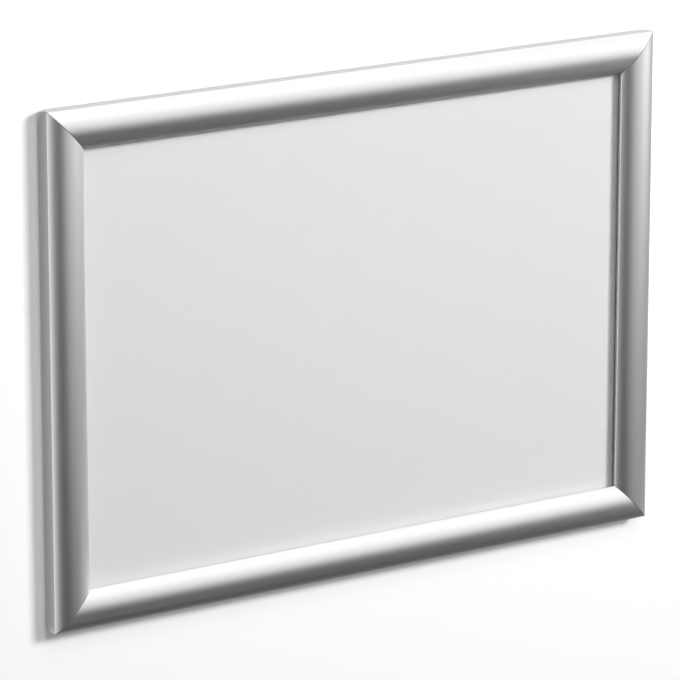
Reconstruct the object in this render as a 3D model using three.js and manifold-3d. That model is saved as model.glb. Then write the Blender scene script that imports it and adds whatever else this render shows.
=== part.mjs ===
// Wall frame with four hinged snap rails: a mitred base frame on the wall, a back panel and a clear
// cover that lie in it, and four crowned cover rails that snap shut over the edge of the cover.
// Millimetres, +Z up. The wall is the plane Y = 0, the front faces -Y, and the origin is the middle
// of the wall plane.
//
// A rail is drawn once, in its own axes: x runs inwards from the frame's outer face, y runs from the
// wall to the front, and z runs along the rail. A group turns it onto its side of the frame.
import * as THREE from "three";
import { mergeVertices } from "three/addons/utils/BufferGeometryUtils.js";
import Module from "manifold-3d";

const wasm = await Module();
wasm.setup();

// Frame
const frameWidth = 450;
const frameHeight = 327;
const railWidth = 25; // the crowned face, seen from the front
const edgeHeight = 12.2; // the two front edges of a snap rail, over the wall
const crownRise = 4.3; // the middle of the crown, over its edges
const mitreGap = 0.4; // between two neighbouring rails, along either of them

// Snap rail
const snapWall = 1.1;
const frontEdgeRadius = 0.6;
const lipClearance = 0.3; // from the lip's nose to the cover
const openAngle = THREE.MathUtils.degToRad(95);

// Hinge
const beadRadius = 1.1;
const hingeClearance = 0.2;
const hookStart = THREE.MathUtils.degToRad(80);
const hookEnd = THREE.MathUtils.degToRad(275);
const strutAngle = THREE.MathUtils.degToRad(45);
const strutWall = 1;

// Base rail
const baseWall = 1.2;
const footInset = 2.6; // from the outer face to the edge of the base on the wall
const ledgeSetback = 2.6; // from the snap rail's inner face back to the ledge's edge
const shelfRise = 3.6; // the shelf that carries the panel, over the ledge
const fenceRise = 0.5; // the fence round the sheets, over the cover
const channelWidth = 6.8;
const channelHeight = 2.8;
const channelLipWidth = 0.8;
const channelLipWall = 0.8;
const ribWall = 1;
const screwHoleRadius = 2.1;
const screwHeadRadius = 3.4;
const screwPlaceShare = 0.3; // of the rail's length, to either side of its middle
const cutOverrun = 2;

// Springs and their seats
const springThickness = 0.45;
const springWidth = 14;
const springBow = 0.9;
const springPlaceShare = 0.22; // of the rail's length, to either side of its middle
const springEndGap = 0.2;
const seatGap = 1.05;
const seatDepth = 0.8;
const seatWall = 0.8;
const baseSeatHeight = 8.2;
const snapSeatHeight = 9.2;

// Sheets
const panelThickness = 1.2;
const coverThickness = 0.5;
const sheetGap = 0.2; // under the panel, and for the poster between panel and cover
const sheetEdgeGap = 0.3;
const panelCornerRadius = 1;

// Corner keys
const keyArmLength = 34;
const keyClearance = 0.25;
const keyTipChamfer = 1;
const keyStakeRadius = 1.2;
const keyStakePlaceShare = 0.62; // of the arm's length, from the corner

// Curve steps
const crownSteps = 48;
const roundSteps = 20;
const edgeSteps = 6;

// Worked from the sizes above
const hookInnerRadius = beadRadius + hingeClearance;
const hookRadius = hookInnerRadius + snapWall;
const hinge = { x: hookRadius, y: baseWall + hingeClearance + hookRadius };
const uprightStart = hinge.x + hookRadius + hingeClearance;
const uprightEnd = uprightStart + baseWall;
const ribStart = uprightEnd + channelWidth;
const ribEnd = ribStart + ribWall;
const channelTop = baseWall + channelHeight;
const ribTop = channelTop + channelLipWall;
const headTop = baseSeatHeight + seatGap / 2 + seatWall;
const ledgeEnd = railWidth - ledgeSetback;
const shelfTop = baseWall + shelfRise;
const panelBack = shelfTop + sheetGap;
const coverBack = panelBack + panelThickness + sheetGap;
const lipNose = coverBack + coverThickness + lipClearance;
const fenceTop = coverBack + coverThickness + fenceRise;
const lipStart = railWidth - snapWall;
const sheetEdge = ribEnd + sheetEdgeGap;
const crownTop = edgeHeight + crownRise;

// The crown is one arc through the two front edges.
const halfRail = railWidth / 2;
const crownRadius = (halfRail * halfRail + crownRise * crownRise) / (2 * crownRise);
const crown = { x: halfRail, y: crownTop - crownRadius };

// Near a corner the hinge side of a rail is notched, so that neighbours can be open together: the
// hook clears the neighbour's hinge, and the skin clears the neighbour's skin when both lie open.
const hookRelief = uprightStart;
const skinRelief = hinge.x + hookRadius * Math.sin(openAngle - Math.PI / 2) + hingeClearance;
const reliefTop = hinge.y + hookRadius * Math.tan(openAngle / 2);

const anodised = new THREE.MeshStandardMaterial({ color: 0xb9babc, metalness: 0.9, roughness: 0.32 });
const millFinish = new THREE.MeshStandardMaterial({ color: 0xa9abad, metalness: 0.9, roughness: 0.45 });
const springSteel = new THREE.MeshStandardMaterial({ color: 0x6f7378, metalness: 1, roughness: 0.3 });
const zincKey = new THREE.MeshStandardMaterial({ color: 0x8d9093, metalness: 0.7, roughness: 0.55 });
const greyPanel = new THREE.MeshStandardMaterial({ color: 0xdcdcdb, metalness: 0, roughness: 0.6 });
const clearSheet = new THREE.MeshStandardMaterial({ color: 0xf2f4f4, metalness: 0, roughness: 0.35 });
clearSheet.transparent = true;
clearSheet.opacity = 0.15;

// A closed geometry as a solid that can be cut and joined.
function toSolid(geometry) {
  const bare = geometry.clone();
  bare.deleteAttribute("normal");
  bare.deleteAttribute("uv");
  const merged = mergeVertices(bare);
  const mesh = new wasm.Mesh({
    numProp: 3,
    vertProperties: merged.attributes.position.array,
    triVerts: new Uint32Array(merged.index.array),
  });
  return new wasm.Manifold(mesh);
}

// A solid as a geometry, with flat facets.
function toGeometry(solid) {
  const mesh = solid.getMesh();
  const geometry = new THREE.BufferGeometry();
  geometry.setAttribute("position", new THREE.BufferAttribute(mesh.vertProperties, 3));
  geometry.setIndex(new THREE.BufferAttribute(mesh.triVerts, 1));
  const faceted = geometry.toNonIndexed();
  faceted.computeVertexNormals();
  return faceted;
}

// A section in x and y, drawn out along z between two stations.
function alongRail(section, from, to) {
  const geometry = new THREE.ExtrudeGeometry(section, {
    depth: to - from,
    bevelEnabled: false,
    steps: 1,
    curveSegments: roundSteps,
  });
  return geometry.translate(0, 0, from);
}

// An outline in x and z, drawn out along y between two heights.
function upright(outline, from, to) {
  const geometry = new THREE.ExtrudeGeometry(outline, {
    depth: to - from,
    bevelEnabled: false,
    steps: 1,
    curveSegments: roundSteps,
  });
  return geometry.rotateX(Math.PI / 2).translate(0, to, 0);
}

function outlineOf(points) {
  return new THREE.Shape(points.map(([x, y]) => new THREE.Vector2(x, y)));
}

// Points on an arc, both ends included.
function arc(centre, radius, from, to, steps) {
  const points = [];
  for (let i = 0; i <= steps; i += 1) {
    const angle = from + ((to - from) * i) / steps;
    points.push([centre.x + radius * Math.cos(angle), centre.y + radius * Math.sin(angle)]);
  }
  return points;
}

// Cuts both ends of a rail at 45 degrees: a rail that reaches further in is shorter there.
function mitred(solid, railLength) {
  const half = railLength / 2 - mitreGap / 2;
  const outer = half + cutOverrun;
  const inner = half - railWidth - cutOverrun;
  const block = outlineOf([
    [-cutOverrun, -outer],
    [railWidth + cutOverrun, -inner],
    [railWidth + cutOverrun, inner],
    [-cutOverrun, outer],
  ]);
  return solid.intersect(toSolid(upright(block, -cutOverrun, crownTop + cutOverrun)));
}

// Two ribs with a slot between them, on a wall at x. They point towards the other wall.
function seatPoints(x, height, direction) {
  const tip = x + direction * seatDepth;
  return [
    [x, height - seatGap / 2 - seatWall],
    [tip, height - seatGap / 2 - seatWall],
    [tip, height - seatGap / 2],
    [x, height - seatGap / 2],
    [x, height + seatGap / 2],
    [tip, height + seatGap / 2],
    [tip, height + seatGap / 2 + seatWall],
    [x, height + seatGap / 2 + seatWall],
  ];
}

// The snap rail's section: the lip, the crowned face, the outer skin and the hook round the bead.
function snapSection() {
  const edge = railWidth - frontEdgeRadius;
  const edgeReach = crownRadius - frontEdgeRadius;
  const edgeY = crown.y + Math.sqrt(edgeReach ** 2 - (edge - crown.x) ** 2);
  const edgeAngle = Math.atan2(edgeY - crown.y, edge - crown.x);
  const noseRadius = snapWall / 2;
  const innerCrown = crownRadius - snapWall;
  const innerAngle = Math.acos((lipStart - crown.x) / innerCrown);
  const skinAngle = Math.acos((snapWall - hinge.x) / hookRadius);
  return outlineOf([
    ...arc({ x: lipStart + noseRadius, y: lipNose + noseRadius }, noseRadius, Math.PI, 2 * Math.PI, edgeSteps),
    ...arc({ x: edge, y: edgeY }, frontEdgeRadius, 0, edgeAngle, edgeSteps),
    ...arc(crown, crownRadius, edgeAngle, Math.PI - edgeAngle, crownSteps).slice(1, -1),
    ...arc({ x: frontEdgeRadius, y: edgeY }, frontEdgeRadius, Math.PI - edgeAngle, Math.PI, edgeSteps),
    ...arc(hinge, hookRadius, Math.PI, hookEnd, roundSteps),
    ...arc(hinge, hookInnerRadius, hookEnd, hookStart, roundSteps),
    ...arc(hinge, hookRadius, hookStart, skinAngle, edgeSteps),
    ...arc(crown, innerCrown, Math.PI - innerAngle, innerAngle, crownSteps),
    ...seatPoints(lipStart, snapSeatHeight, -1).reverse(),
  ]);
}

// What is cut away near each end of a snap rail, so that neighbours clear each other.
function hingeRelief(railLength) {
  const reach = hookRelief + cutOverrun;
  const hookCut = outlineOf([
    [-cutOverrun, -cutOverrun],
    [reach, -cutOverrun],
    [reach, reliefTop],
    [snapWall, reliefTop],
    [snapWall, hinge.y],
    [-cutOverrun, hinge.y],
  ]);
  const skinCut = outlineOf([
    [-cutOverrun, -cutOverrun],
    [reach, -cutOverrun],
    [reach, reliefTop],
    [-cutOverrun, reliefTop],
  ]);
  const end = railLength / 2;
  const cuts = [
    alongRail(hookCut, end - hookRelief, end + cutOverrun),
    alongRail(hookCut, -end - cutOverrun, hookRelief - end),
    alongRail(skinCut, end - skinRelief, end + cutOverrun),
    alongRail(skinCut, -end - cutOverrun, skinRelief - end),
  ];
  return cuts.map(toSolid).reduce((joined, cut) => joined.add(cut));
}

function snapRail(railLength) {
  const bar = toSolid(alongRail(snapSection(), -railLength / 2, railLength / 2));
  return toGeometry(mitred(bar, railLength).subtract(hingeRelief(railLength)));
}

// The base rail's section: foot, ledge with the shelf, fence, key channel, upright with the spring
// seat, and the strut that carries the hinge bead.
function baseSection() {
  const halfStrut = strutWall / 2;
  const flank = Math.asin(halfStrut / beadRadius);
  const slope = Math.tan(strutAngle);
  const beadPoints = arc(hinge, beadRadius, strutAngle + flank, strutAngle - flank + 2 * Math.PI, roundSteps);
  const [upperX, upperY] = beadPoints[0];
  const [lowerX, lowerY] = beadPoints[beadPoints.length - 1];
  return outlineOf([
    [footInset, 0],
    [ledgeEnd, 0],
    [ledgeEnd, shelfTop],
    [ledgeEnd - ribWall, shelfTop],
    [ledgeEnd - ribWall, baseWall],
    [ribEnd, baseWall],
    [ribEnd, fenceTop],
    [ribStart, fenceTop],
    [ribStart, ribTop],
    [ribStart - channelLipWidth, ribTop],
    [ribStart - channelLipWidth, channelTop],
    [ribStart, channelTop],
    [ribStart, baseWall],
    [uprightEnd, baseWall],
    [uprightEnd, channelTop],
    [uprightEnd + channelLipWidth, channelTop],
    [uprightEnd + channelLipWidth, ribTop],
    [uprightEnd, ribTop],
    ...seatPoints(uprightEnd, baseSeatHeight, 1),
    [uprightStart, headTop],
    [uprightStart, upperY + (uprightStart - upperX) * slope],
    ...beadPoints,
    [uprightStart, lowerY + (uprightStart - lowerX) * slope],
    [uprightStart, baseWall],
    [footInset, baseWall],
  ]);
}

// A wall screw's hole through the floor of the channel, and the way in for its head.
function screwCut(station) {
  const middle = (uprightEnd + ribStart) / 2;
  const hole = new THREE.Shape().absarc(middle, station, screwHoleRadius, 0, 2 * Math.PI);
  const head = new THREE.Shape().absarc(middle, station, screwHeadRadius, 0, 2 * Math.PI);
  const through = toSolid(upright(hole, -cutOverrun, channelTop));
  return through.add(toSolid(upright(head, baseWall, headTop + cutOverrun)));
}

function baseRail(railLength, hasScrews) {
  const bar = toSolid(alongRail(baseSection(), -railLength / 2, railLength / 2));
  const cut = mitred(bar, railLength);
  if (!hasScrews) return toGeometry(cut);
  const place = railLength * screwPlaceShare;
  return toGeometry(cut.subtract(screwCut(place)).subtract(screwCut(-place)));
}

// A leaf spring: a strip bowed between the seat in the base rail and the seat in the snap rail.
function leafSpring() {
  const start = new THREE.Vector2(uprightEnd + springEndGap, baseSeatHeight);
  const end = new THREE.Vector2(lipStart - springEndGap, snapSeatHeight);
  const chord = end.clone().sub(start);
  const halfChord = chord.length() / 2;
  const radius = (halfChord * halfChord + springBow * springBow) / (2 * springBow);
  const normal = new THREE.Vector2(-chord.y, chord.x).normalize();
  const middle = start.clone().add(end).multiplyScalar(0.5);
  const centre = middle.addScaledVector(normal, springBow - radius);
  const from = Math.atan2(start.y - centre.y, start.x - centre.x);
  const to = Math.atan2(end.y - centre.y, end.x - centre.x);
  const section = outlineOf([
    ...arc(centre, radius + springThickness / 2, from, to, roundSteps),
    ...arc(centre, radius - springThickness / 2, to, from, roundSteps),
  ]);
  return alongRail(section, -springWidth / 2, springWidth / 2);
}

// An L-shaped key for one corner, drawn for the corner with the least x and y.
function cornerKey() {
  const outer = uprightEnd + keyClearance;
  const inner = ribStart - keyClearance;
  const tip = outer + keyArmLength;
  const shoulder = tip - keyTipChamfer;
  const outline = outlineOf([
    [outer, outer],
    [shoulder, outer],
    [tip, outer + keyTipChamfer],
    [tip, inner - keyTipChamfer],
    [shoulder, inner],
    [inner, inner],
    [inner, shoulder],
    [inner - keyTipChamfer, tip],
    [outer + keyTipChamfer, tip],
    [outer, shoulder],
  ]);
  const middle = (outer + inner) / 2;
  const stake = outer + keyArmLength * keyStakePlaceShare;
  outline.holes.push(new THREE.Path().absarc(stake, middle, keyStakeRadius, 0, 2 * Math.PI));
  outline.holes.push(new THREE.Path().absarc(middle, stake, keyStakeRadius, 0, 2 * Math.PI));
  return upright(outline, baseWall + keyClearance, channelTop - keyClearance);
}

// A flat sheet with slightly rounded corners, between two heights over the wall.
function sheet(back, front) {
  const halfWidth = frameWidth / 2 - sheetEdge;
  const halfHeight = frameHeight / 2 - sheetEdge;
  const turn = Math.PI / 2;
  const cornerSigns = [
    [1, 1],
    [-1, 1],
    [-1, -1],
    [1, -1],
  ];
  const points = cornerSigns.flatMap(([signX, signZ], i) => {
    const centre = {
      x: signX * (halfWidth - panelCornerRadius),
      y: signZ * (halfHeight - panelCornerRadius),
    };
    return arc(centre, panelCornerRadius, i * turn, (i + 1) * turn, edgeSteps);
  });
  return upright(outlineOf(points), -front, -back);
}

function addMesh(group, name, geometry, material) {
  const mesh = new THREE.Mesh(geometry, material);
  mesh.name = name;
  group.add(mesh);
  return mesh;
}

// One side of the frame: its axes are inwards, to the front, and along the rail.
function sideGroup(inwards, distance) {
  const front = new THREE.Vector3(0, -1, 0);
  const along = new THREE.Vector3().crossVectors(inwards, front);
  const group = new THREE.Group();
  group.quaternion.setFromRotationMatrix(new THREE.Matrix4().makeBasis(inwards, front, along));
  group.position.copy(inwards).multiplyScalar(-distance);
  return group;
}

function addSide(frame, side) {
  const group = sideGroup(side.inwards, side.distance);
  addMesh(group, `base_rail_${side.name}`, baseRail(side.railLength, side.hasScrews), millFinish);
  addMesh(group, `snap_rail_${side.name}`, snapRail(side.railLength), anodised);
  [-1, 1].forEach((sign, i) => {
    const spring = addMesh(group, `spring_${side.name}_${i + 1}`, leafSpring(), springSteel);
    spring.position.z = sign * side.railLength * springPlaceShare;
  });
  frame.add(group);
}

// A key's own group starts at the frame's corner, with x and z inwards along the two rails.
function addKey(frame, name, signX, signZ, quarterTurns) {
  const group = new THREE.Group();
  const key = addMesh(group, name, cornerKey(), zincKey);
  key.rotation.y = (quarterTurns * Math.PI) / 2;
  group.rotation.x = Math.PI;
  group.position.set((signX * frameWidth) / 2, 0, (signZ * frameHeight) / 2);
  frame.add(group);
}

const sides = [
  { name: "top", inwards: [0, 0, -1], railLength: frameWidth, distance: frameHeight / 2, hasScrews: true },
  { name: "bottom", inwards: [0, 0, 1], railLength: frameWidth, distance: frameHeight / 2, hasScrews: true },
  { name: "left", inwards: [1, 0, 0], railLength: frameHeight, distance: frameWidth / 2, hasScrews: false },
  { name: "right", inwards: [-1, 0, 0], railLength: frameHeight, distance: frameWidth / 2, hasScrews: false },
];

const frame = new THREE.Group();
sides.forEach((side) => addSide(frame, { ...side, inwards: new THREE.Vector3(...side.inwards) }));
addKey(frame, "corner_key_top_left", -1, 1, 0);
addKey(frame, "corner_key_top_right", 1, 1, 3);
addKey(frame, "corner_key_bottom_right", 1, -1, 2);
addKey(frame, "corner_key_bottom_left", -1, -1, 1);
addMesh(frame, "back_panel", sheet(panelBack, panelBack + panelThickness), greyPanel);
addMesh(frame, "clear_cover", sheet(coverBack, coverBack + coverThickness), clearSheet);

export default frame;
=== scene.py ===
import math
import bmesh
import bpy
from mathutils import Matrix, Vector


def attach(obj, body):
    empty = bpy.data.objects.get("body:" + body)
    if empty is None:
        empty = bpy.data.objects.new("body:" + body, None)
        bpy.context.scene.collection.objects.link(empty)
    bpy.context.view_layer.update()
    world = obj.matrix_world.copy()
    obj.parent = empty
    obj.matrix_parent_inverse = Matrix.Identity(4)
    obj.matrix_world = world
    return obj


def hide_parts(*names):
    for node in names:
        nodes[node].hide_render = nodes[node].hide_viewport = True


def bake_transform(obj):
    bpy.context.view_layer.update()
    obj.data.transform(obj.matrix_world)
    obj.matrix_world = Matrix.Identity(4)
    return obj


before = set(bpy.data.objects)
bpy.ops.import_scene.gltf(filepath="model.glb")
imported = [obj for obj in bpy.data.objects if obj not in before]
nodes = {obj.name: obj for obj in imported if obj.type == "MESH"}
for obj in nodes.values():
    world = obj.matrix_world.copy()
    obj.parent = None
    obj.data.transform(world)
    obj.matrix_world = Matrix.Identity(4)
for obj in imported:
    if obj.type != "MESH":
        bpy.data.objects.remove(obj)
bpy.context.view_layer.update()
scene = bpy.context.scene
scene.view_settings.view_transform = "Standard"
mm = 0.001

# Sizes that several pieces share. A rail's own axes: x inwards from the outer face, y from the wall to the
# front, z along the rail.
wholeFrame = {
    "width": 450 * mm,
    "height": 327 * mm,
    "railWidth": 25 * mm,
    "edgeHeight": 12.2 * mm,  # front edges of a rail, over the wall
    "crownRise": 4.3 * mm,
    "hingeX": 2.4 * mm,
    "hingeY": 3.8 * mm,
    "snapWall": 1.1 * mm,
}
fullWidth, fullHeight = wholeFrame["width"], wholeFrame["height"]
sides = {
    "top": {"inwards": Vector((0, 0, -1)), "length": fullWidth, "distance": fullHeight / 2},
    "bottom": {"inwards": Vector((0, 0, 1)), "length": fullWidth, "distance": fullHeight / 2},
    "left": {"inwards": Vector((1, 0, 0)), "length": fullHeight, "distance": fullWidth / 2},
    "right": {"inwards": Vector((-1, 0, 0)), "length": fullHeight, "distance": fullWidth / 2},
}
# Edges of the snap rails and springs
edges = {
    "smoothAngle": math.radians(25),  # flatter than this, a corner is part of a round
    "breakAngle": math.radians(40),  # sharper than this, it is broken
    "breakSegments": 2,
}


def sideMatrix(side):
    front = Vector((0, -1, 0))
    along = side["inwards"].cross(front)
    turn = Matrix((side["inwards"], front, along)).transposed().to_4x4()
    return Matrix.Translation(-side["inwards"] * side["distance"]) @ turn


def linkTo(tree, fromSocket, toSocket):
    tree.links.new(fromSocket, toSocket)


def addObject(name, data):
    made = bpy.data.objects.new(name, data)
    scene.collection.objects.link(made)
    return made


def meshFrom(shape, name):
    mesh = bpy.data.meshes.new(name)
    shape.to_mesh(mesh)
    shape.free()
    return mesh


def smoothAndBreak(piece, width):
    piece.data.shade_smooth()
    piece.data.set_sharp_from_angle(angle=edges["smoothAngle"])
    bevel = piece.modifiers.new("brokenEdges", "BEVEL")
    bevel.width = width
    bevel.segments = edges["breakSegments"]
    bevel.limit_method = "ANGLE"
    bevel.angle_limit = edges["breakAngle"]
    bevel.harden_normals = True


def plainMaterial(name):
    material = bpy.data.materials.new(name)
    material.use_nodes = True
    tree = material.node_tree
    tree.nodes.clear()
    output = tree.nodes.new("ShaderNodeOutputMaterial")
    return material, tree, output


def mathNode(tree, operation, first, second=0):
    node = tree.nodes.new("ShaderNodeMath")
    node.operation = operation
    for socket, value in zip(node.inputs, (first, second)):
        if isinstance(value, (int, float)):
            socket.default_value = value
        else:
            linkTo(tree, value, socket)
    return node.outputs[0]


def objectPlaces(tree):
    return tree.nodes.new("ShaderNodeTexCoord").outputs["Object"]


def arcPoints(centre, radius, start, end, steps):
    angles = [start + (end - start) * i / steps for i in range(steps + 1)]
    return [(centre[0] + radius * math.cos(angle), centre[1] + radius * math.sin(angle)) for angle in angles]


# Camera, at the photograph's viewing angle
camera = {
    "place": Vector((-1.5826, -2.4019, 0.7607)),
    "lookAt": Vector((-0.0084, 0, -0.0111)),
    "lens": 249.9,
    "sensor": 36,
}
cameraData = bpy.data.cameras.new("camera")
cameraData.lens = camera["lens"]
cameraData.sensor_width = camera["sensor"]
cameraObject = addObject("camera", cameraData)
cameraObject.location = camera["place"]
cameraObject.rotation_euler = (camera["lookAt"] - camera["place"]).to_track_quat("-Z", "Y").to_euler()
scene.camera = cameraObject
print("camera done")

# Stage: a white wall, a pale floor, soft lamps, and a room that only shows in reflections
stage = {
    "reach": 3.0,  # of the wall and the floor
    "wallColour": (0.955, 0.955, 0.955, 1),
    "wallPlace": 0.4 * mm,  # behind the frame's back
    "wallGlow": 0.185,
    "holeInset": 5 * mm,  # the wall is open inside this edge, so that the frame's back sees the room behind
    "shadeWidth": 7 * mm,
    "shadeGlow": 0.30,
    "floorColour": (0.30, 0.30, 0.295, 1),
    "floorGlow": 0.62,  # it makes the floor pale out to its edge
    "floorDrop": 0.75,
    "ambient": 0.03,
}
# A lamp's share is the level that it alone gives to white paint at the frame, on the side that it stands on.
lamps = {
    "key": {"place": (1.275, -2.235, 1.26), "size": (0.90, 0.75), "share": 0.64},
    "leftFill": {"place": (-0.30, -1.70, 0.95), "size": (0.60, 0.40), "share": 0.10},
    "highFill": {"place": (-0.35, -1.20, 1.45), "size": (0.50, 0.50), "share": 0.09},
    "frontFill": {"place": (-0.20, -2.20, -0.10), "size": (1.20, 1.20), "share": 0.08},
    "rear": {"place": (0.50, 2.20, 1.00), "size": (2.00, 2.00), "share": 0.90},
}
# What shows in reflections, on a sphere round the frame: zones by azimuth and elevation in degrees, with soft
# edges. Azimuth 0 is straight in front, and it grows to the right. passedOn is the share of a zone's light
# that goes on from the metal to the panel and the wall.
room = {"radius": 4.0, "segments": 96, "rings": 48, "base": 0.011}
zones = {
    "ceiling": {
        "azimuth": (-100, 100), "azimuthSoft": 30,
        "elevation": (26.4, 120), "elevationSoft": 48,
        "level": 1.4, "passedOn": 0.8,
    },
    "leftWall": {
        "azimuth": (-78, -30.2), "azimuthSoft": 40,
        "elevation": (-2.8, 23.4), "elevationSoft": 11,
        "level": 1.3,
    },
    "leftWindow": {
        "azimuth": (-78, -42), "azimuthSoft": 27,
        "elevation": (-27.7, -5.4), "elevationSoft": 12,
        "level": 1.8,
    },
    "rightWindow": {
        "azimuth": (47.2, 84.5), "azimuthSoft": 17,
        "elevation": (-8.1, 19.2), "elevationSoft": 11,
        "level": 2.9,
    },
    "middle": {
        "azimuth": (9.5, 46), "azimuthSoft": 35,
        "elevation": (-13.5, 32.3), "elevationSoft": 10,
        "level": 1.1,
    },
    "lowRight": {
        "azimuth": (61.1, 95), "azimuthSoft": 11,
        "elevation": (-36.5, -26.1), "elevationSoft": 9,
        "level": 3.5,
    },
    "floorGlow": {
        "azimuth": (20.4, 45.3), "azimuthSoft": 9,
        "elevation": (-49.6, -45.9), "elevationSoft": 7,
        "level": 0.9,
    },
    "behind": {
        "azimuth": (95, 400), "azimuthSoft": 20,
        "elevation": (-120, 0), "elevationSoft": 20,
        "level": 0.52, "bothSides": True,
    },
    "behindHigh": {
        "azimuth": (95, 400), "azimuthSoft": 20,
        "elevation": (0, 60), "elevationSoft": 20,
        "level": 0.88, "bothSides": True,
    },
}


def stagePiece(name, mesh, material):
    mesh.materials.append(material)
    made = addObject(name, mesh)
    return made


def stageSheet(name, corners, faces, material):
    mesh = bpy.data.meshes.new(name)
    mesh.from_pydata(corners, [], faces)
    return stagePiece(name, mesh, material)


def hideFromBounces(made):
    # the room stands in for the wall and the floor in every reflection
    made.visible_diffuse = False
    made.visible_glossy = False


def showInReflectionsOnly(made):
    made.visible_camera = False
    made.visible_diffuse = False
    made.visible_shadow = False
    made.visible_transmission = False


def oneSidedPaint(name, colour, glow):
    material, tree, output = plainMaterial(name)
    geometry = tree.nodes.new("ShaderNodeNewGeometry")
    clear = tree.nodes.new("ShaderNodeBsdfTransparent")
    paint = tree.nodes.new("ShaderNodeBsdfDiffuse")
    paint.inputs["Color"].default_value = colour
    # it glows a little for the camera, for mirrors and through glass, and gives the object no light
    path = tree.nodes.new("ShaderNodeLightPath")
    seen = mathNode(tree, "ADD", path.outputs["Is Camera Ray"], path.outputs["Is Glossy Ray"])
    seen = mathNode(tree, "ADD", seen, path.outputs["Is Transmission Ray"])
    light = tree.nodes.new("ShaderNodeEmission")
    linkTo(tree, mathNode(tree, "MULTIPLY", seen, glow), light.inputs["Strength"])
    both = tree.nodes.new("ShaderNodeAddShader")
    linkTo(tree, paint.outputs[0], both.inputs[0])
    linkTo(tree, light.outputs[0], both.inputs[1])
    mix = tree.nodes.new("ShaderNodeMixShader")
    linkTo(tree, geometry.outputs["Backfacing"], mix.inputs[0])
    linkTo(tree, both.outputs[0], mix.inputs[1])
    linkTo(tree, clear.outputs[0], mix.inputs[2])
    linkTo(tree, mix.outputs[0], output.inputs["Surface"])
    return material


def rectangle(reach, low, high):
    return [(-reach, low), (reach, low), (reach, high), (-reach, high)]


def addWall():
    reach, inset = stage["reach"], stage["holeInset"]
    outer = rectangle(reach, -stage["floorDrop"], reach)
    inner = rectangle(fullWidth / 2 - inset, inset - fullHeight / 2, fullHeight / 2 - inset)
    corners = [(x, stage["wallPlace"], z) for x, z in outer + inner]
    faces = [(i, (i + 1) % 4, 4 + (i + 1) % 4, 4 + i) for i in range(4)]
    paint = oneSidedPaint("wallPaint", stage["wallColour"], stage["wallGlow"])
    hideFromBounces(stageSheet("wall", corners, faces, paint))


def addWallShade():
    # the strip of wall in the frame's shadow, which the left side's face mirrors
    material, tree, output = plainMaterial("wallShade")
    glow = tree.nodes.new("ShaderNodeEmission")
    glow.inputs["Strength"].default_value = stage["shadeGlow"]
    linkTo(tree, glow.outputs[0], output.inputs["Surface"])
    near, reach = -fullWidth / 2, fullHeight / 2
    far = near - stage["shadeWidth"]
    outline = ((far, -reach), (near, -reach), (near, reach), (far, reach))
    corners = [(x, stage["wallPlace"], z) for x, z in outline]
    showInReflectionsOnly(stageSheet("wallShade", corners, [(0, 1, 2, 3)], material))


def addFloor():
    reach, back, low = stage["reach"], stage["wallPlace"], -stage["floorDrop"]
    corners = [(-reach, back, low), (-reach, -reach, low), (reach, -reach, low), (reach, back, low)]
    paint = oneSidedPaint("floorPaint", stage["floorColour"], stage["floorGlow"])
    hideFromBounces(stageSheet("floor", corners, [(0, 1, 2, 3)], paint))


def addLamp(name, lamp):
    place = Vector(lamp["place"])
    data = bpy.data.lights.new(name, "AREA")
    data.shape = "RECTANGLE"
    data.size, data.size_y = lamp["size"]
    facing = abs(place.y) / place.length
    data.energy = lamp["share"] * math.pi ** 2 * place.length_squared / facing
    made = addObject(name, data)
    made.location = place
    made.rotation_euler = (-place).to_track_quat("-Z", "Y").to_euler()
    made.visible_glossy = False


def softWindow(tree, value, low, high, soft):
    ramps = []
    for start, end in ((low - soft / 2, low + soft / 2), (high + soft / 2, high - soft / 2)):
        ramp = tree.nodes.new("ShaderNodeMapRange")
        ramp.interpolation_type = "SMOOTHSTEP"
        ramp.inputs["From Min"].default_value = start
        ramp.inputs["From Max"].default_value = end
        linkTo(tree, value, ramp.inputs["Value"])
        ramps.append(ramp.outputs["Result"])
    return mathNode(tree, "MULTIPLY", *ramps)


def roomGlow():
    material, tree, output = plainMaterial("roomGlow")
    split = tree.nodes.new("ShaderNodeSeparateXYZ")
    linkTo(tree, objectPlaces(tree), split.inputs[0])
    x, y, z = split.outputs
    forwards = mathNode(tree, "MULTIPLY", y, -1)
    azimuth = mathNode(tree, "DEGREES", mathNode(tree, "ARCTAN2", x, forwards))
    height = mathNode(tree, "DIVIDE", z, room["radius"])
    elevation = mathNode(tree, "DEGREES", mathNode(tree, "ARCSINE", height))
    eitherSide = mathNode(tree, "ABSOLUTE", azimuth)

    # direct is 1 in a reflection, and 0 where its light goes on to a matt surface, such as the panel
    path = tree.nodes.new("ShaderNodeLightPath")
    direct = mathNode(tree, "LESS_THAN", path.outputs["Diffuse Depth"], 0.5)  # no diffuse bounce yet
    total = mathNode(tree, "MULTIPLY", direct, room["base"])
    for zone in zones.values():
        turn = eitherSide if zone.get("bothSides") else azimuth
        upwards = softWindow(tree, elevation, *zone["elevation"], zone["elevationSoft"])
        across = softWindow(tree, turn, *zone["azimuth"], zone["azimuthSoft"])
        share = mathNode(tree, "MAXIMUM", direct, zone["passedOn"]) if "passedOn" in zone else direct
        level = mathNode(tree, "MULTIPLY", share, zone["level"])
        glow = mathNode(tree, "MULTIPLY", mathNode(tree, "MULTIPLY", upwards, across), level)
        total = mathNode(tree, "ADD", total, glow)
    light = tree.nodes.new("ShaderNodeEmission")
    linkTo(tree, total, light.inputs["Strength"])
    linkTo(tree, light.outputs[0], output.inputs["Surface"])
    return material


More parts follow.
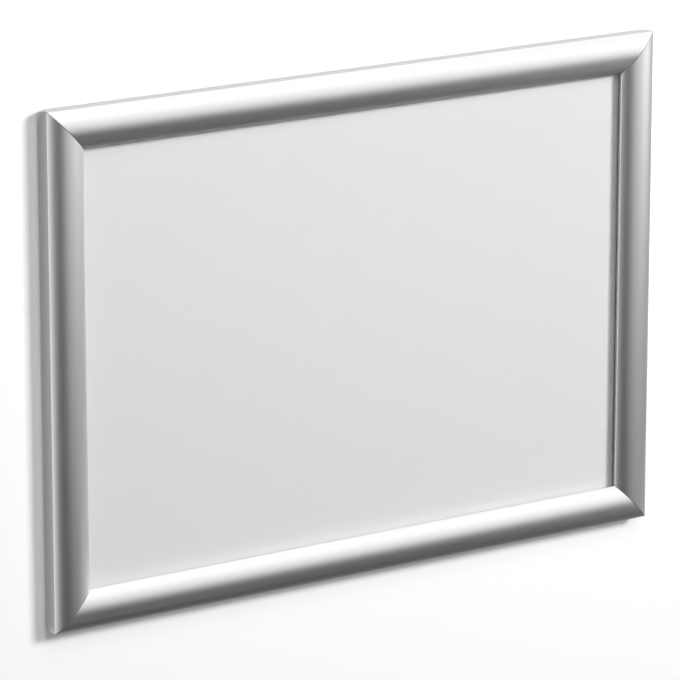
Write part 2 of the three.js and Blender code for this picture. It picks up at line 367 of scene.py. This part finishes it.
def addRoom():
    segments, rings, radius = room["segments"], room["rings"], room["radius"]
    shape = bmesh.new()
    bmesh.ops.create_uvsphere(shape, u_segments=segments, v_segments=rings, radius=radius)
    showInReflectionsOnly(stagePiece("room", meshFrom(shape, "room"), roomGlow()))


def addWorld():
    world = bpy.data.worlds.new("room")
    scene.world = world
    world.use_nodes = True
    tree = world.node_tree
    tree.nodes.clear()
    output = tree.nodes.new("ShaderNodeOutputWorld")
    path = tree.nodes.new("ShaderNodeLightPath")
    dim = tree.nodes.new("ShaderNodeBackground")
    dim.inputs["Strength"].default_value = stage["ambient"]
    white = tree.nodes.new("ShaderNodeBackground")
    for background in (dim, white):
        background.inputs["Color"].default_value = (1, 1, 1, 1)
    # white to the camera, and a little ambient light for the rest
    mix = tree.nodes.new("ShaderNodeMixShader")
    linkTo(tree, path.outputs["Is Camera Ray"], mix.inputs[0])
    linkTo(tree, dim.outputs[0], mix.inputs[1])
    linkTo(tree, white.outputs[0], mix.inputs[2])
    linkTo(tree, mix.outputs[0], output.inputs["Surface"])


addWall()
addWallShade()
addFloor()
for lampName, lamp in lamps.items():
    addLamp(lampName, lamp)
addRoom()
addWorld()
print("stage done")


# Finishes. A pattern's scale counts its marks to a metre, and tint, spread and bump say how far the colour,
# the roughness and the surface follow it.
middleBand = (0.3, 0.7)  # most of a pattern's values lie within it, and the cover's slant uses it too


def principled(tree, output):
    shader = tree.nodes.new("ShaderNodeBsdfPrincipled")
    linkTo(tree, shader.outputs[0], output.inputs["Surface"])
    return shader


def pattern(tree, source, finish):
    mapping = tree.nodes.new("ShaderNodeMapping")
    mapping.inputs["Scale"].default_value = finish["scale"]
    linkTo(tree, source, mapping.inputs["Vector"])
    noise = tree.nodes.new("ShaderNodeTexNoise")
    noise.inputs["Scale"].default_value = 1
    noise.inputs["Detail"].default_value = finish["detail"]
    linkTo(tree, mapping.outputs[0], noise.inputs["Vector"])
    return noise.outputs["Fac"]


def ranged(tree, value, low, high):
    ramp = tree.nodes.new("ShaderNodeMapRange")
    ramp.inputs["From Min"].default_value, ramp.inputs["From Max"].default_value = middleBand
    ramp.inputs["To Min"].default_value = low
    ramp.inputs["To Max"].default_value = high
    linkTo(tree, value, ramp.inputs["Value"])
    return ramp.outputs["Result"]


def addRoughness(tree, shader, marks, finish):
    low, high = finish["roughness"] - finish["spread"], finish["roughness"] + finish["spread"]
    linkTo(tree, ranged(tree, marks, low, high), shader.inputs["Roughness"])


def addTint(tree, shader, marks, finish):
    mix = tree.nodes.new("ShaderNodeMix")
    mix.data_type = "RGBA"
    for name, factor in (("A", 1 - finish["tint"]), ("B", 1 + finish["tint"])):
        colour = [min(1, part * factor) for part in finish["colour"][:3]]
        mix.inputs[name].default_value = (*colour, 1)
    linkTo(tree, marks, mix.inputs["Factor"])
    linkTo(tree, mix.outputs["Result"], shader.inputs["Base Color"])


def addBump(tree, shader, marks, finish):
    bump = tree.nodes.new("ShaderNodeBump")
    bump.inputs["Strength"].default_value = finish["bump"]
    bump.inputs["Distance"].default_value = finish["bumpHeight"]
    linkTo(tree, marks, bump.inputs["Height"])
    linkTo(tree, bump.outputs["Normal"], shader.inputs["Normal"])


def addMarks(tree, shader, marks, finish):
    addTint(tree, shader, marks, finish)
    addRoughness(tree, shader, marks, finish)
    addBump(tree, shader, marks, finish)


# fine lines along each snap rail
anodising = {
    "colour": (0.77, 0.77, 0.775, 1),
    "tint": 0.012,
    "roughness": 0.36,
    "spread": 0.03,
    "scale": (5200, 34, 1),
    "detail": 2,
    "bump": 0.04,
    "bumpHeight": 0.02 * mm,
    "anisotropy": 0.4,
}


def satinAnodised():
    material, tree, output = plainMaterial("satinAnodised")
    shader = principled(tree, output)
    uv = tree.nodes.new("ShaderNodeUVMap")
    uv.uv_map = "railUv"
    addMarks(tree, shader, pattern(tree, uv.outputs[0], anodising), anodising)
    tangent = tree.nodes.new("ShaderNodeTangent")
    tangent.direction_type = "UV_MAP"
    tangent.uv_map = "railUv"
    linkTo(tree, tangent.outputs[0], shader.inputs["Tangent"])
    shader.inputs["Metallic"].default_value = 1
    shader.inputs["Anisotropic"].default_value = anodising["anisotropy"]
    return material


# bare metals: die lines along the base rails, and mottled springs and keys
bareMetal = {"tint": 0.05, "spread": 0.07, "detail": 2, "bump": 0.12, "bumpHeight": 0.05 * mm}
millColour = (0.62, 0.625, 0.63, 1)
bareMetals = {
    "millFinishAcross": {"colour": millColour, "roughness": 0.42, "scale": (30, 2600, 2600)},
    "millFinishUpright": {"colour": millColour, "roughness": 0.42, "scale": (2600, 2600, 30)},
    "springSteel": {"colour": (0.30, 0.31, 0.33, 1), "roughness": 0.30, "scale": (900, 900, 900)},
    "zincPlate": {"colour": (0.50, 0.51, 0.52, 1), "roughness": 0.48, "scale": (260, 260, 260)},
}


def bareMetalFinish(name):
    material, tree, output = plainMaterial(name)
    shader = principled(tree, output)
    finish = {**bareMetal, **bareMetals[name]}
    addMarks(tree, shader, pattern(tree, objectPlaces(tree), finish), finish)
    shader.inputs["Metallic"].default_value = 1
    return material


panelPlastic = {
    "colour": (0.80, 0.80, 0.80, 1),
    "tint": 0.012,
    "roughness": 0.57,
    "spread": 0.05,
    "scale": (900, 900, 900),
    "detail": 4,
    "bump": 0.05,
    "bumpHeight": 0.02 * mm,
}


def panelSheet():
    material, tree, output = plainMaterial("panelSheet")
    shader = principled(tree, output)
    addMarks(tree, shader, pattern(tree, objectPlaces(tree), panelPlastic), panelPlastic)
    return material


coverPlastic = {
    "colour": (0.93, 0.94, 0.94, 1),
    "roughness": 0.34,
    "spread": 0.04,
    "scale": (1500, 1500, 1500),
    "detail": 3,
    "slantBlend": 0.15,
    "alpha": (0.06, 0.35),  # seen from the front, and at a slant
}


def clearSheet():
    material, tree, output = plainMaterial("clearSheet")
    shader = principled(tree, output)
    shader.inputs["Base Color"].default_value = coverPlastic["colour"]
    addRoughness(tree, shader, pattern(tree, objectPlaces(tree), coverPlastic), coverPlastic)
    slant = tree.nodes.new("ShaderNodeLayerWeight")
    slant.inputs["Blend"].default_value = coverPlastic["slantBlend"]
    linkTo(tree, ranged(tree, slant.outputs["Facing"], *coverPlastic["alpha"]), shader.inputs["Alpha"])
    return material


anodised = satinAnodised()
millAcross = bareMetalFinish("millFinishAcross")
millUpright = bareMetalFinish("millFinishUpright")
springSteel = bareMetalFinish("springSteel")
zincPlate = bareMetalFinish("zincPlate")
panelFinish = panelSheet()
coverFinish = clearSheet()
print("finishes done")


def newTree(name, inputs, result):
    tree = bpy.data.node_groups.new(name, "GeometryNodeTree")
    for label, kind in inputs.items():
        tree.interface.new_socket(label, in_out="INPUT", socket_type=kind)
    tree.interface.new_socket(result, in_out="OUTPUT", socket_type="NodeSocketGeometry")
    given = tree.nodes.new("NodeGroupInput").outputs
    made = tree.nodes.new("NodeGroupOutput").inputs
    return tree, given, made


def endTree(tree, shape, given, made):
    real = tree.nodes.new("GeometryNodeRealizeInstances")
    finish = tree.nodes.new("GeometryNodeSetMaterial")
    linkTo(tree, shape, real.inputs[0])
    linkTo(tree, real.outputs[0], finish.inputs["Geometry"])
    linkTo(tree, given["Finish"], finish.inputs["Material"])
    linkTo(tree, finish.outputs[0], made[0])


def runTree(name, mesh, tree, values):
    source = addObject(name + "Source", mesh)
    modifier = source.modifiers.new("tree", "NODES")
    modifier.node_group = tree
    for item in tree.interface.items_tree:
        if item.in_out == "INPUT" and item.name in values:
            modifier[item.identifier] = values[item.name]
    bpy.context.view_layer.update()
    shown = source.evaluated_get(bpy.context.evaluated_depsgraph_get())
    result = bpy.data.meshes.new_from_object(shown)
    result.name = name
    bpy.data.objects.remove(source)
    return result


# Snap rails: one outline drawn out along the rail, mitred, and notched at the hinge side of both ends
snapRail = {
    "mitreGap": 0.4 * mm,
    "frontEdgeRadius": 0.6 * mm,
    "lipNose": 7.2 * mm,  # over the wall
    "lipLean": 1.9 * mm,  # how far the lip's nose stands back under the crown
    "hookRadius": 2.4 * mm,
    "hookInnerRadius": 1.3 * mm,
    "hookStart": math.radians(80),
    "hookEnd": math.radians(275),
    "seatHeight": 9.2 * mm,
    "seatGap": 1.05 * mm,
    "seatDepth": 0.8 * mm,
    "seatWall": 0.8 * mm,
    "hookNotch": 5.0 * mm,  # from the end
    "skinNotch": 2.8 * mm,
    "notchTop": 6.4 * mm,
    "notchFoot": 4.6 * mm,  # where the sloped cut meets the upright one
    "notchStart": 7.6 * mm,  # where the sloped cut meets the rail's end
    "notchOverrun": 2 * mm,
    "crownSteps": 96,
    "roundSteps": 24,
    "edgeSteps": 8,
    "edgeBreak": 0.08 * mm,  # how far the sawn edges are broken
}


def seatOutline(x, height):
    halfGap, wall = snapRail["seatGap"] / 2, snapRail["seatWall"]
    tip = x - snapRail["seatDepth"]
    return [
        (x, height - halfGap - wall),
        (tip, height - halfGap - wall),
        (tip, height - halfGap),
        (x, height - halfGap),
        (x, height + halfGap),
        (tip, height + halfGap),
        (tip, height + halfGap + wall),
        (x, height + halfGap + wall),
    ]


def leaned(point):
    height = wholeFrame["edgeHeight"]
    share = (height - point[1]) / (height - snapRail["lipNose"])
    return point[0] - snapRail["lipLean"] * min(max(share, 0), 1), point[1]


def snapOutline():
    width, wall, rise = wholeFrame["railWidth"], wholeFrame["snapWall"], wholeFrame["crownRise"]
    edgeSteps, roundSteps, crownSteps = snapRail["edgeSteps"], snapRail["roundSteps"], snapRail["crownSteps"]

    # the crown, and the rounds where it meets the outer skin and the lip
    crownRadius = (width * width / 4 + rise * rise) / (2 * rise)
    crown = (width / 2, wholeFrame["edgeHeight"] + rise - crownRadius)
    edgeRadius = snapRail["frontEdgeRadius"]
    edge = width - edgeRadius
    edgeY = crown[1] + math.sqrt((crownRadius - edgeRadius) ** 2 - (edge - crown[0]) ** 2)
    edgeAngle = math.atan2(edgeY - crown[1], edge - crown[0])

    # the lip, and the inner side of the crown
    lipStart = width - wall
    nose = wall / 2
    noseCentre = (lipStart + nose, snapRail["lipNose"] + nose)
    innerCrown = crownRadius - wall
    innerAngle = math.acos((lipStart - crown[0]) / innerCrown)

    # the hook round the hinge bead
    hinge = (wholeFrame["hingeX"], wholeFrame["hingeY"])
    hook, hookInner = snapRail["hookRadius"], snapRail["hookInnerRadius"]
    hookStart, hookEnd = snapRail["hookStart"], snapRail["hookEnd"]
    skinAngle = math.acos((wall - hinge[0]) / hook)

    points = [leaned(point) for point in arcPoints(noseCentre, nose, math.pi, 2 * math.pi, edgeSteps)]
    points += arcPoints((edge, edgeY), edgeRadius, 0, edgeAngle, edgeSteps)
    points += arcPoints(crown, crownRadius, edgeAngle, math.pi - edgeAngle, crownSteps)[1:-1]
    points += arcPoints((edgeRadius, edgeY), edgeRadius, math.pi - edgeAngle, math.pi, edgeSteps)
    points += arcPoints(hinge, hook, math.pi, hookEnd, roundSteps)
    points += arcPoints(hinge, hookInner, hookEnd, hookStart, roundSteps)
    points += arcPoints(hinge, hook, hookStart, skinAngle, edgeSteps)
    points += arcPoints(crown, innerCrown, math.pi - innerAngle, innerAngle, crownSteps)
    points += [leaned(point) for point in reversed(seatOutline(lipStart, snapRail["seatHeight"]))]
    return points


def outlineMesh(points):
    mesh = bpy.data.meshes.new("outline")
    count = len(points)
    mesh.from_pydata([(x, y, 0) for x, y in points], [(i, (i + 1) % count) for i in range(count)], [])
    return mesh


def notchTool(name, corners, drawn):
    shape = bmesh.new()
    face = shape.faces.new([shape.verts.new(corner) for corner in corners])
    made = bmesh.ops.extrude_face_region(shape, geom=[face])
    moved = [item for item in made["geom"] if isinstance(item, bmesh.types.BMVert)]
    bmesh.ops.translate(shape, verts=moved, vec=drawn)
    bmesh.ops.recalc_face_normals(shape, faces=shape.faces)
    return addObject(name, meshFrom(shape, name))


def hookNotchTool():
    wall, hingeY, top = wholeFrame["snapWall"], wholeFrame["hingeY"], snapRail["notchTop"]
    depth, over = snapRail["hookNotch"], snapRail["notchOverrun"]
    reach = depth + over
    outline = ((-over, -over), (reach, -over), (reach, top), (wall, top), (wall, hingeY), (-over, hingeY))
    return notchTool("hookNotch", [(x, y, -depth) for x, y in outline], Vector((0, 0, reach)))


def skinNotchTool():
    depth, over = snapRail["skinNotch"], snapRail["notchOverrun"]
    start, foot = snapRail["notchStart"], snapRail["notchFoot"]
    outline = ((over, -over), (over, start + over), (0, start), (-depth, foot), (-depth, -over))
    drawn = Vector((snapRail["hookNotch"] + 2 * over, 0, 0))
    return notchTool("skinNotch", [(-over, y, z) for z, y in outline], drawn)


def railTree():
    tree, given, made = newTree("snapRailTree", {
        "Outline": "NodeSocketGeometry",
        "Length": "NodeSocketFloat",
        "Mitre Gap": "NodeSocketFloat",
        "Hook Notch": "NodeSocketObject",
        "Skin Notch": "NodeSocketObject",
        "Finish": "NodeSocketMaterial",
    }, "Rail")

    # the outline, with its own length kept for the grain
    outline = tree.nodes.new("GeometryNodeMeshToCurve")
    linkTo(tree, given["Outline"], outline.inputs["Mesh"])
    parameter = tree.nodes.new("GeometryNodeSplineParameter")
    kept = tree.nodes.new("GeometryNodeCaptureAttribute")
    kept.capture_items.new("FLOAT", "Across")
    linkTo(tree, outline.outputs[0], kept.inputs[0])
    linkTo(tree, parameter.outputs["Length"], kept.inputs["Across"])

    # drawn out along the rail
    line = tree.nodes.new("GeometryNodeCurvePrimitiveLine")
    line.inputs["Start"].default_value = (0, 0, -1)
    line.inputs["End"].default_value = (0, 0, 1)
    bar = tree.nodes.new("GeometryNodeCurveToMesh")
    bar.inputs["Fill Caps"].default_value = True
    linkTo(tree, line.outputs[0], bar.inputs["Curve"])
    linkTo(tree, kept.outputs[0], bar.inputs["Profile Curve"])

    # mitred: a point that lies further in is nearer the rail's middle
    place = tree.nodes.new("GeometryNodeInputPosition")
    split = tree.nodes.new("ShaderNodeSeparateXYZ")
    linkTo(tree, place.outputs[0], split.inputs[0])
    whole = mathNode(tree, "SUBTRACT", given["Length"], given["Mitre Gap"])
    half = mathNode(tree, "MULTIPLY", whole, 0.5)
    reach = mathNode(tree, "SUBTRACT", half, split.outputs["X"])
    station = mathNode(tree, "MULTIPLY", split.outputs["Z"], reach)
    joined = tree.nodes.new("ShaderNodeCombineXYZ")
    linkTo(tree, split.outputs["X"], joined.inputs["X"])
    linkTo(tree, split.outputs["Y"], joined.inputs["Y"])
    linkTo(tree, station, joined.inputs["Z"])
    mitred = tree.nodes.new("GeometryNodeSetPosition")
    linkTo(tree, bar.outputs[0], mitred.inputs["Geometry"])
    linkTo(tree, joined.outputs[0], mitred.inputs["Position"])

    # notched at both ends
    cut = tree.nodes.new("GeometryNodeMeshBoolean")
    cut.operation = "DIFFERENCE"
    cut.solver = "EXACT"
    linkTo(tree, mitred.outputs[0], cut.inputs["Mesh 1"])
    offset = tree.nodes.new("ShaderNodeCombineXYZ")
    linkTo(tree, mathNode(tree, "MULTIPLY", given["Length"], 0.5), offset.inputs["Z"])
    for name in ("Hook Notch", "Skin Notch"):
        tool = tree.nodes.new("GeometryNodeObjectInfo")
        linkTo(tree, given[name], tool.inputs["Object"])
        atEnd = tree.nodes.new("GeometryNodeTransform")
        linkTo(tree, tool.outputs["Geometry"], atEnd.inputs["Geometry"])
        linkTo(tree, offset.outputs[0], atEnd.inputs["Translation"])
        atStart = tree.nodes.new("GeometryNodeTransform")
        atStart.inputs["Scale"].default_value = (1, 1, -1)
        linkTo(tree, atEnd.outputs[0], atStart.inputs["Geometry"])
        turned = tree.nodes.new("GeometryNodeFlipFaces")
        linkTo(tree, atStart.outputs[0], turned.inputs[0])
        linkTo(tree, atEnd.outputs[0], cut.inputs["Mesh 2"])
        linkTo(tree, turned.outputs[0], cut.inputs["Mesh 2"])

    # the grain runs along the rail
    here = tree.nodes.new("GeometryNodeInputPosition")
    parts = tree.nodes.new("ShaderNodeSeparateXYZ")
    linkTo(tree, here.outputs[0], parts.inputs[0])
    uv = tree.nodes.new("ShaderNodeCombineXYZ")
    linkTo(tree, kept.outputs["Across"], uv.inputs["X"])
    linkTo(tree, parts.outputs["Z"], uv.inputs["Y"])
    store = tree.nodes.new("GeometryNodeStoreNamedAttribute")
    store.data_type = "FLOAT2"
    store.domain = "CORNER"
    store.inputs["Name"].default_value = "railUv"
    linkTo(tree, cut.outputs[0], store.inputs["Geometry"])
    linkTo(tree, uv.outputs[0], store.inputs["Value"])

    endTree(tree, store.outputs[0], given, made)
    return tree


def addSnapRails():
    tree = railTree()
    outline = snapOutline()
    hookNotch, skinNotch = hookNotchTool(), skinNotchTool()
    for name, side in sides.items():
        mesh = runTree(f"satin_rail_{name}", outlineMesh(outline), tree, {
            "Length": side["length"],
            "Mitre Gap": snapRail["mitreGap"],
            "Hook Notch": hookNotch,
            "Skin Notch": skinNotch,
            "Finish": anodised,
        })
        mesh.transform(sideMatrix(side))
        rail = addObject(mesh.name, mesh)
        smoothAndBreak(rail, snapRail["edgeBreak"])
        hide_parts(f"snap_rail_{name}")
        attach(rail, f"{name}_rail")
    for tool in (hookNotch, skinNotch):
        bpy.data.objects.remove(tool)
    print("snap rails done")


addSnapRails()


# Leaf springs: a bowed strip from the seat in the base rail to the seat in the snap rail, two to a side.
leafSpring = {
    "baseSeat": (6.4 * mm, 8.2 * mm),
    "endGap": 0.2 * mm,  # from the strip's end to the floor of the snap rail's seat
    "bow": 0.9 * mm,
    "thickness": 0.45 * mm,
    "width": 14 * mm,
    "placeShare": 0.22,  # of the rail's length, to either side of its middle
    "steps": 40,
    "edgeBreak": 0.06 * mm,
    "gripShare": 0.06,  # of the strip, held by a seat at either end
}


def springTree():
    tree, given, made = newTree("leafSpringTree", {
        "Base Seat": "NodeSocketVector",
        "Bow Point": "NodeSocketVector",
        "Snap Seat": "NodeSocketVector",
        "Thickness": "NodeSocketFloat",
        "Width": "NodeSocketFloat",
        "Steps": "NodeSocketInt",
        "Finish": "NodeSocketMaterial",
    }, "Spring")
    arc = tree.nodes.new("GeometryNodeCurveArc")
    arc.mode = "POINTS"
    linkTo(tree, given["Base Seat"], arc.inputs["Start"])
    linkTo(tree, given["Bow Point"], arc.inputs["Middle"])
    linkTo(tree, given["Snap Seat"], arc.inputs["End"])
    linkTo(tree, given["Steps"], arc.inputs["Resolution"])
    upright = tree.nodes.new("GeometryNodeSetCurveNormal")
    upright.mode = "Z_UP"
    linkTo(tree, arc.outputs["Curve"], upright.inputs["Curve"])
    section = tree.nodes.new("GeometryNodeCurvePrimitiveQuadrilateral")
    linkTo(tree, given["Thickness"], section.inputs["Width"])
    linkTo(tree, given["Width"], section.inputs["Height"])
    strip = tree.nodes.new("GeometryNodeCurveToMesh")
    strip.inputs["Fill Caps"].default_value = True
    linkTo(tree, upright.outputs[0], strip.inputs["Curve"])
    linkTo(tree, section.outputs[0], strip.inputs["Profile Curve"])
    endTree(tree, strip.outputs[0], given, made)
    return tree


def addSprings():
    tree = springTree()
    seat = wholeFrame["railWidth"] - wholeFrame["snapWall"] - leafSpring["endGap"]
    start = Vector((*leafSpring["baseSeat"], 0))
    end = Vector((*leaned((seat, snapRail["seatHeight"])), 0))
    across = (end - start).normalized()
    outwards = Vector((-across.y, across.x, 0))
    for name, side in sides.items():
        matrix = sideMatrix(side)
        place = side["length"] * leafSpring["placeShare"]
        for number, station in ((1, -place), (2, place)):
            mesh = runTree(f"leaf_spring_{name}_{number}", bpy.data.meshes.new("empty"), tree, {
                "Base Seat": start,
                "Bow Point": (start + end) / 2 + outwards * leafSpring["bow"],
                "Snap Seat": end,
                "Thickness": leafSpring["thickness"],
                "Width": leafSpring["width"],
                "Steps": leafSpring["steps"],
                "Finish": springSteel,
            })
            mesh.transform(matrix @ Matrix.Translation((0, 0, station)))
            spring = addObject(mesh.name, mesh)
            smoothAndBreak(spring, leafSpring["edgeBreak"])
            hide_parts(f"spring_{name}_{number}")
            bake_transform(spring)
    print("springs done")


addSprings()


# Parts that keep their CAD shape, by the start of the node's name
keptFinishes = {
    "base_rail_top": millAcross,
    "base_rail_bottom": millAcross,
    "base_rail_left": millUpright,
    "base_rail_right": millUpright,
    "corner_key": zincPlate,
    "back_panel": panelFinish,
    "clear_cover": coverFinish,
}
for nodeName, node in nodes.items():
    for nameStart, finish in keptFinishes.items():
        if nodeName.startswith(nameStart):
            node.data.materials.clear()
            node.data.materials.append(finish)
print("base, keys and sheets done")
